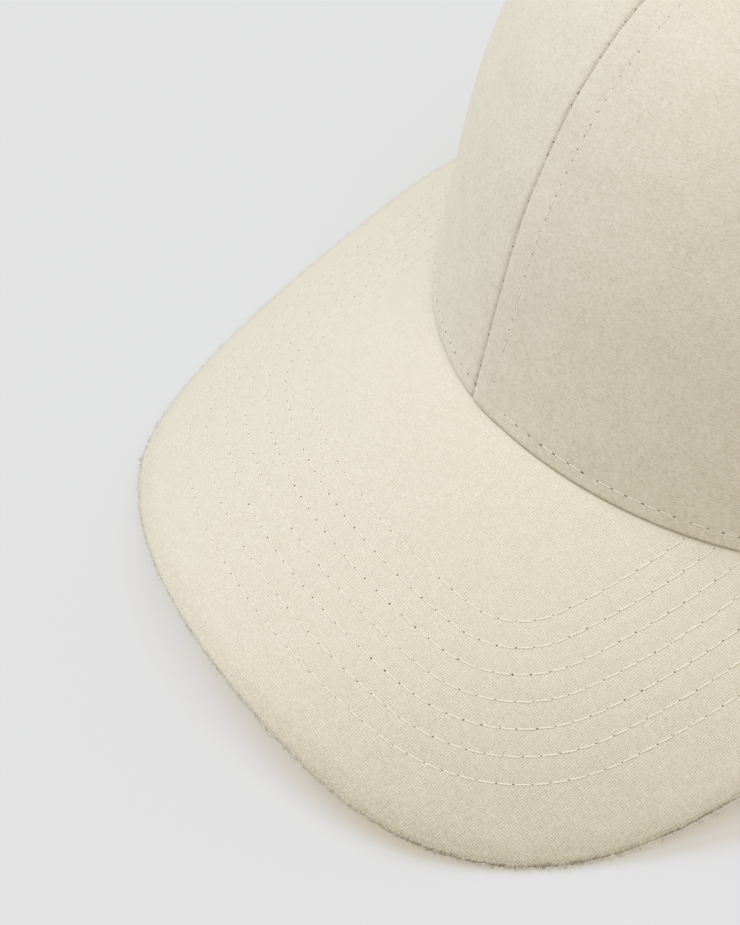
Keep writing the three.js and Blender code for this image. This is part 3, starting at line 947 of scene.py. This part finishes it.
def make_panel(index, name, laps_first, laps_last):
    first_seam = index * PANEL_TURN
    last_seam = first_seam + PANEL_TURN
    heights = crown_rows()
    height = heights[:, None]
    level = level_at(height)
    first_metric, last_metric = (
        crown_width(np.full_like(level, seam), level) for seam in (first_seam, last_seam)
    )
    width = (first_metric + last_metric) / 2 * PANEL_TURN
    first_distance, first_lift = panel_columns(width, height, laps_first)
    last_distance, last_lift = panel_columns(width, height, laps_last)
    first_angle = first_seam + first_distance / first_metric
    last_angle = last_seam - last_distance / last_metric
    middle = np.linspace(0, 1, 28)[1:-1]
    between = first_angle[:, -1:] + (last_angle[:, -1:] - first_angle[:, -1:]) * middle
    angle = np.concatenate([first_angle, between, last_angle[:, ::-1]], axis=1)
    lift = np.concatenate([first_lift, 0 * between, last_lift[:, ::-1]], axis=1)
    marks_and_painted_shade = np.concatenate([
        ditch_marks(first_distance, height, laps_first),
        ditch_marks(0 * between + SEAM_REACH, height, True),
        ditch_marks(last_distance, height, laps_last)[:, ::-1],
    ], axis=1).reshape(-1, 3)

    wave = crown_wave(angle, height)
    groove = GROOVE_DEPTH * bell(height - EDGE_ROW, GROOVE_WIDTH)
    depth = edge_depth(height) + groove - wave - lift * smooth_step(height, -0.002, 0.002)
    inner_angle = np.maximum(angle, first_seam + INNER_ROOM / first_metric)
    inner_angle = np.minimum(inner_angle, last_seam - INNER_ROOM / last_metric)
    inner = crown_cloth(inner_angle, level, WALL - edge_depth(height) - wave)
    points, faces = shell(crown_cloth(angle, level, depth), inner)
    across = (angle - (first_seam + last_seam) / 2) / PANEL_TURN * width
    flat = np.stack([across + 0.5 * index, height + 0 * angle, 0 * angle], -1).reshape(-1, 3)
    piece = add_piece(
        name + "_cloth", points, faces, [CROWN_WOOL], [name],
        {"pattern": np.concatenate([flat, flat]), "marks_and_painted_shade": np.concatenate([marks_and_painted_shade, 0 * marks_and_painted_shade])},
    )


# Stitching

THREAD_SIDES = 6
THREAD_STEPS = 9
HOLE_SIDES = 8
ALL_ROUND = (-math.pi * RIM_HALF_WIDTH, math.pi * RIM_HALF_WIDTH)


def stitch_threads(place_at, row, ends, radius, rise, napped):
    """The threads of one row, which dive into the cloth at both ends of each stitch."""
    share = np.linspace(0.01, 0.99, THREAD_STEPS)
    around = np.arange(THREAD_SIDES) * 2 * math.pi / THREAD_SIDES
    distance = ends[:-1, None] + (ends[1:] - ends[:-1])[:, None] * share
    centre, normal = place_at(row, distance)
    side = unit(np.cross(unit(np.gradient(centre, axis=1)), normal))
    dive = 1 - smooth_step(np.minimum(share, 1 - share), 0.0, 0.13)
    one_each = (len(distance), 1)
    height = radius * rise - dive * THREAD_DIVE - NAP_COVER * (chance.random(one_each) < napped)
    slant = chance.normal(0.00006, 0.00003, one_each) * (2 * share - 1)
    height = height + chance.normal(0, 0.00001, one_each)
    centre = centre + normal * height[..., None] + side * slant[..., None]
    ring = side[:, :, None] * np.cos(around)[:, None]
    ring = ring + THREAD_FLATNESS * normal[:, :, None] * np.sin(around)[:, None]
    points = centre[:, :, None] + ring * radius
    lengthwise = distance[:, :, None] + 0 * around
    pattern = np.stack([lengthwise, 0 * lengthwise + around, 0 * lengthwise], -1)
    faces = strand_faces(len(distance), THREAD_STEPS, THREAD_SIDES)
    return points.reshape(-1, 3), [face[::-1] for face in faces], pattern.reshape(-1, 3)


def needle_holes(place_at, row, ends, sizes, stretch):
    """Small needle holes, as flat closed discs of painted shade that are longer along the row."""
    spots, normals = place_at(row, ends[:, None] + np.array([[0.0, THREAD_DIVE]]))
    along = unit(spots[:, 1] - spots[:, 0])[:, None]
    spot = spots[:, :1]
    up = normals[:, :1]
    turn = (np.arange(HOLE_SIDES) * 2 * math.pi / HOLE_SIDES)[:, None]
    ring = along * np.cos(turn) * stretch + np.cross(up, along) * np.sin(turn)
    ring = spot + ring * sizes[:, None, None] + up * HOLE_RIM
    points = [ring, spot + up * HOLE_MIDDLE, spot + up * HOLE_UNDERSIDE]
    points = np.concatenate(points, axis=1).reshape(-1, 3)
    disc = list(range(HOLE_SIDES))
    faces = repeated(fan(disc, HOLE_SIDES) + fan(disc[::-1], HOLE_SIDES + 1), len(ends), HOLE_SIDES + 2)
    return points, faces, 0 * points


def add_stitches(name, place_at, lengths, stitch, radius=THREAD_RADIUS, hole=HOLE_RADIUS, rise=THREAD_RISE,
                 skip=0.0, napped=0.0, stretch=1.35, materials=(THREAD, HOLE)):
    """Rows of stitches. place_at(row, distance) gives points and normals, lengths each row's ends."""
    points, faces, kinds, pattern = [], [], [], []
    total = 0
    for row, (start, end) in enumerate(lengths):
        count = max(int(round((end - start) / stitch)), 1)
        ends = np.linspace(start, end, count + 1)
        ends[1:-1] += chance.normal(0, 0.035 * stitch, count - 1)
        threads = stitch_threads(place_at, row, ends, radius, rise, napped)
        sizes = hole * chance.uniform(0.7, 1.25, count + 1)
        shows = chance.random(count + 1) >= skip
        holes = needle_holes(place_at, row, ends[shows], sizes[shows], stretch)
        for kind, (made, made_faces, made_pattern) in enumerate((threads, holes)):
            points.append(made)
            pattern.append(made_pattern)
            faces += [[total + k for k in face] for face in made_faces]
            kinds += [kind] * len(made_faces)
            total += len(made)
    add_piece(name, np.concatenate(points), faces, materials,
              attributes={"pattern": np.concatenate(pattern)}, face_material=kinds)


def row_ends(row):
    """How far a row runs from the middle before it goes under the crown."""
    offset = row * ROW_SPACING

    def shows(distance):
        place = run_arcs(FIRST_ROW, ROW_ARCS, offset, np.array(distance))
        return outside_rim(*place)[1] > ROW_END_ROOM

    reach = last_where(0.05, 0.25, shows)
    return -reach, reach


def peak_row(row, distance):
    place = run_arcs(FIRST_ROW, ROW_ARCS, row * ROW_SPACING, distance)
    return peak_upper(*place), peak_upward(*place)


def under_row(row, distance):
    place = run_arcs(FIRST_ROW, ROW_ARCS, row * ROW_SPACING, distance)
    return peak_lower(*place), -peak_upward(*place)


# The angle of each seam and the side of it that is lapped and topstitched
LAP_ROWS = [(index * PANEL_TURN, 1) for index, (_, laps, _) in enumerate(PANELS) if laps]
LAP_ROWS += [((index + 1) * PANEL_TURN, -1) for index, (_, _, laps) in enumerate(PANELS) if laps]


def beside_seam(row, height, from_seam):
    """A place beside a lapped seam: its angle, its level, and how far the relief is narrowed there."""
    angle, side = LAP_ROWS[row]
    level = level_at(height)
    metric = crown_width(np.full_like(level, angle), level)
    fit = seam_fit(metric * PANEL_TURN)
    return angle + side * from_seam * fit / metric, level, fit


def seam_row(row, height):
    from_seam = seam_row_place(height)
    angle, level, fit = beside_seam(row, height, from_seam)
    lift = (fold_lift(from_seam) - GROOVE_DEPTH) * fit
    return crown_cloth(angle, level, -lift - crown_wave(angle, height)), crown_outward(angle, level)


def ditch_row(row, height):
    """The line of the seam itself, beside the folded edge."""
    angle, level, fit = beside_seam(row, height, -SEAM_LINE)
    depth = (DITCH_DEPTH * bell(FOLD_EDGE + SEAM_LINE, DITCH_WIDTH) - SEAM_LINE_STAND) * fit
    return crown_cloth(angle, level, depth - crown_wave(angle, height)), crown_outward(angle, level)


def edge_row(row, distance):
    angle = distance / RIM_HALF_WIDTH
    level = np.full_like(angle, level_at(EDGE_ROW))
    depth = GROOVE_DEPTH - crown_wave(angle, EDGE_ROW)
    return crown_cloth(angle, level, depth), crown_outward(angle, level)


def make_stitching():
    peak_ends = [row_ends(row) for row in range(ROW_COUNT)]
    add_stitches("peak_stitching", peak_row, peak_ends, PEAK_STITCH)
    add_stitches("peak_under_stitching", under_row, peak_ends, PEAK_STITCH)
    seam_ends = [(SEAM_ROW_START, float(HEIGHT_GRID[-1]) - SEAM_ROW_END)] * len(LAP_ROWS)
    add_stitches("crown_seam_stitching", seam_row, seam_ends, SEAM_STITCH, radius=0.00015, rise=0.0,
                 skip=0.08, napped=0.45, hole=0.00034, materials=(THREAD_PAINTED_LIGHTER, NAPPED_HOLE))
    add_stitches("crown_ditch_stitching", ditch_row, seam_ends, SEAM_STITCH, radius=0.00008, rise=-1.5,
                 skip=0.4, hole=0.00018, stretch=1.3)
    add_stitches("crown_edge_stitching", edge_row, [ALL_ROUND], EDGE_STITCH, radius=0.00013, rise=0.1,
                 skip=0.03, napped=0.4, hole=0.00036, stretch=2.0, materials=(THREAD_PAINTED_LIGHTER, HOLE))


# The small pieces

def band_place(angle, height, inside):
    """A point of the sweatband, and of its inner side where inside is 1."""
    level = level_at(height)
    loose = 1 + np.sin(7 * angle + 1.3) * np.sin(3 * angle)
    slack = 0.0005 * loose * smooth_step(height, 0.01, BAND_HEIGHT)
    drawn_in = sum(bell(height - row, 0.0006) for row in BAND_ROWS)
    depth = WALL + PIECE_GAP + slack + inside * (BAND_THICKNESS - 0.00020 * drawn_in)
    return crown_point(angle, level, depth)


def make_band():
    turns, rings = 240, 22
    angle = np.linspace(0, 2 * math.pi, turns, endpoint=False) + np.zeros((rings, 1))
    height = np.linspace(BAND_HEM, BAND_HEIGHT, rings)[:, None] + 0 * angle
    outer = band_place(angle, height, 0)
    points, faces = shell(outer, band_place(angle, height, 1), closed=True)
    flat = np.stack([angle * RIM_HALF_WIDTH, height, 0 * height], -1).reshape(-1, 3)
    piece = add_piece("sweatband_cloth", points, faces, [TWILL], ["sweatband"],
                      {"pattern": np.concatenate([flat, flat])})


def band_row(row, distance):
    angle = distance / RIM_HALF_WIDTH
    height = np.full_like(angle, BAND_ROWS[row])
    return band_place(angle, height, 1), -crown_outward(angle, level_at(height))


def make_band_stitching():
    around = [ALL_ROUND] * len(BAND_ROWS)
    add_stitches("sweatband_stitching", band_row, around, EDGE_STITCH, radius=0.00016)


def make_button():
    """A domed button covered with the cap's cloth, gathered in under its edge."""
    turns, rings = 96, 28
    turn = np.linspace(0, 2 * math.pi, turns, endpoint=False)
    place = np.linspace(-1, 1, rings)[:-1, None]  # -1 to 0 is its lower side, 0 to 1 its dome
    tuck = 1 + np.minimum(place, 0)
    dome = np.maximum(place, 0) * math.pi / 2
    radius = BUTTON_RADIUS * (0.25 + 0.75 * np.sin(tuck * math.pi / 2)) * np.cos(dome)
    height = BUTTON_EDGE * tuck ** 1.6 + (BUTTON_HEIGHT - BUTTON_EDGE) * np.sin(dome)
    gather = np.sin(17 * turn + np.sin(3 * turn)) * smooth_step(-place, -0.25, 0.5)
    radius = radius + BUTTON_GATHER * gather
    rounds = np.stack([radius * np.cos(turn), radius * np.sin(turn), height + 0 * turn], -1)
    points, faces = capped(rounds, [[0, 0, 0], [0, 0, BUTTON_HEIGHT]])
    slope = np.array(Matrix.Rotation(-RIM_SLOPE, 3, "X"))
    apex = from_joint(0.0, RIM_HALF_LENGTH, CROWN_LEVELS[-1, 0] + BUTTON_STAND, RIM_SLOPE)
    add_piece("button_cloth", points @ slope.T + apex, faces, [CROWN_WOOL], ["top_button"],
              {"pattern": points})


# Loose fibres

FIBRE_ASIDE = np.array([0.31, 0.52, 0.79])  # no fibre runs this way


def add_fibres(name, roots, directions, bends, lengths, radius):
    """Short tapered fibres, each a closed three-sided strand."""
    steps, sides = 4, 3
    share = np.linspace(0, 1, steps)
    reach = lengths[:, None] * share
    centre = roots[:, None] + directions[:, None] * reach[..., None]
    centre = centre + bends[:, None] * (reach ** 2 / lengths[:, None])[..., None]
    ahead = unit(np.gradient(centre, axis=1))
    helper = unit(np.cross(ahead, FIBRE_ASIDE))
    other = np.cross(ahead, helper)
    turn = (np.arange(sides) * 2 * math.pi / sides)[:, None]
    ring = helper[:, :, None] * np.cos(turn) + other[:, :, None] * np.sin(turn)
    thin = radius * (1 - 0.75 * share)[:, None, None]
    points = (centre[:, :, None] + ring * thin).reshape(-1, 3)
    points[:, 2] = np.maximum(points[:, 2], 0.0)
    add_piece(name, points, strand_faces(len(roots), steps, sides), [FIBRE])


def edge_spot(distance, turn):
    """A place on the peak's edge round its section, and the way it faces."""
    half = PEAK_THICKNESS / 2
    step = 1e-4
    edge = np.stack(peak_edge(distance), -1)
    ahead = unit(np.stack(peak_edge(distance + step), -1) - np.stack(peak_edge(distance - step), -1))
    outward = np.stack([-ahead[:, 1], ahead[:, 0]], -1)
    outward *= np.sign((outward * (edge + [0, 0.03])).sum(1))[:, None]
    out, down = edge_profile(turn)
    spot = edge - outward * (half * (1 - out) - edge_fullness(distance))[:, None]
    lean = level_outward(*edge.T, outward) * edge_lean(distance, turn)[:, None]
    level_out = unit(peak_surface(*(spot + outward * 0.0005).T) - peak_surface(*spot.T))
    facing = level_out * np.sin(turn)[:, None] + peak_upward(*spot.T) * np.cos(turn)[:, None]
    return peak_point(*spot.T, half + half * down) + lean, facing


def make_edge_fibres():
    """Fuzz along the edge of the peak: single short fibres, and tufts of longer ones."""
    count = 6500
    distance = chance.uniform(-EDGE_END + 0.004, EDGE_END - 0.004, count)
    roots, facing = edge_spot(distance, np.radians(chance.uniform(35, 150, count)))
    directions = unit(facing + chance.normal(0, 0.8, (count, 3)))
    lengths = np.minimum(chance.gamma(2.2, 0.00022, count) + 0.0002, 0.0018)
    bends = chance.normal(0, 0.32, (count, 3))
    add_fibres("peak_edge_fibres", roots, directions, bends, lengths, 0.000036)

    tufts, each = 170, 12
    middle = np.repeat(chance.uniform(-EDGE_END + 0.006, EDGE_END - 0.006, tufts), each)
    turn = np.repeat(chance.uniform(55, 120, tufts), each)
    lean = np.repeat(chance.normal(0, 0.7, (tufts, 3)), each, axis=0)
    size = np.repeat(chance.uniform(0.5, 1.25, tufts), each)
    count = tufts * each
    distance = middle + chance.normal(0, 0.00028, count)
    roots, facing = edge_spot(distance, np.radians(turn + chance.normal(0, 9, count)))
    directions = unit(facing + lean + chance.normal(0, 0.22, (count, 3)))
    lengths = size * chance.uniform(0.0003, 0.0009, count)
    bends = chance.normal(0, 0.3, (count, 3))
    add_fibres("peak_edge_tufts", roots, directions, bends, lengths, 0.00005)


make_peak()
for index, panel in enumerate(PANELS):
    make_panel(index, *panel)
make_stitching()
make_band()
make_band_stitching()
make_button()
make_edge_fibres()


# Floor, light and camera

def add_floor():
    size = 6.0
    low = -0.0001
    mesh = bpy.data.meshes.new("floor")
    corners = [(-size, -size, low), (size, -size, low), (size, size, low), (-size, size, low)]
    mesh.from_pydata(corners, [], [(0, 1, 2, 3)])
    mesh.materials.append(pale_floor())
    floor = add_object("floor", mesh)


# Wide soft lights, each given by where it comes from, its strength and its colour
LIGHTS = [
    {"name": "light_above", "source": (0.26, 0.0, 0.97), "strength": 1.36, "colour": (0.98, 1.0, 1.02),
     "width": math.radians(50)},
    {"name": "light_from_right", "source": (-0.58, -0.22, 0.78), "strength": 1.40,
     "colour": (0.86, 0.97, 1.20), "width": math.radians(32)},
]
SKY = (0.43, 0.39, 0.31)


def add_lights():
    for light in LIGHTS:
        lamp = bpy.data.lights.new(light["name"], "SUN")
        lamp.energy = light["strength"]
        lamp.color = light["colour"]
        lamp.angle = light["width"]
        holder = add_object(light["name"], lamp)
        holder.rotation_mode = "QUATERNION"
        holder.rotation_quaternion = Vector(light["source"]).to_track_quat("Z", "Y")
    world = bpy.data.worlds.new("studio")
    world.use_nodes = True
    background = world.node_tree.nodes["Background"]
    background.inputs["Color"].default_value = (*SKY, 1)
    background.inputs["Strength"].default_value = 1.0
    bpy.context.scene.world = world
    bpy.context.scene.view_settings.view_transform = "Standard"


def add_camera():
    flat = math.cos(CAMERA_ELEVATION)
    across = np.array([math.cos(CAMERA_AZIMUTH), math.sin(CAMERA_AZIMUTH), 0.0])
    back = np.array([across[1] * flat, -across[0] * flat, math.sin(CAMERA_ELEVATION)])
    right = math.cos(CAMERA_ROLL) * across + math.sin(CAMERA_ROLL) * np.cross(back, across)
    axes = np.column_stack([right, np.cross(back, right), back, CAMERA_AIM + back * CAMERA_DISTANCE])
    lens = bpy.data.cameras.new("camera")
    lens.lens = CAMERA_LENS_MM
    lens.sensor_width = 36.0
    camera = add_object("camera", lens)
    camera.matrix_world = Matrix([*axes.tolist(), [0, 0, 0, 1]])
    bpy.context.scene.camera = camera


add_floor()
add_lights()
add_camera()
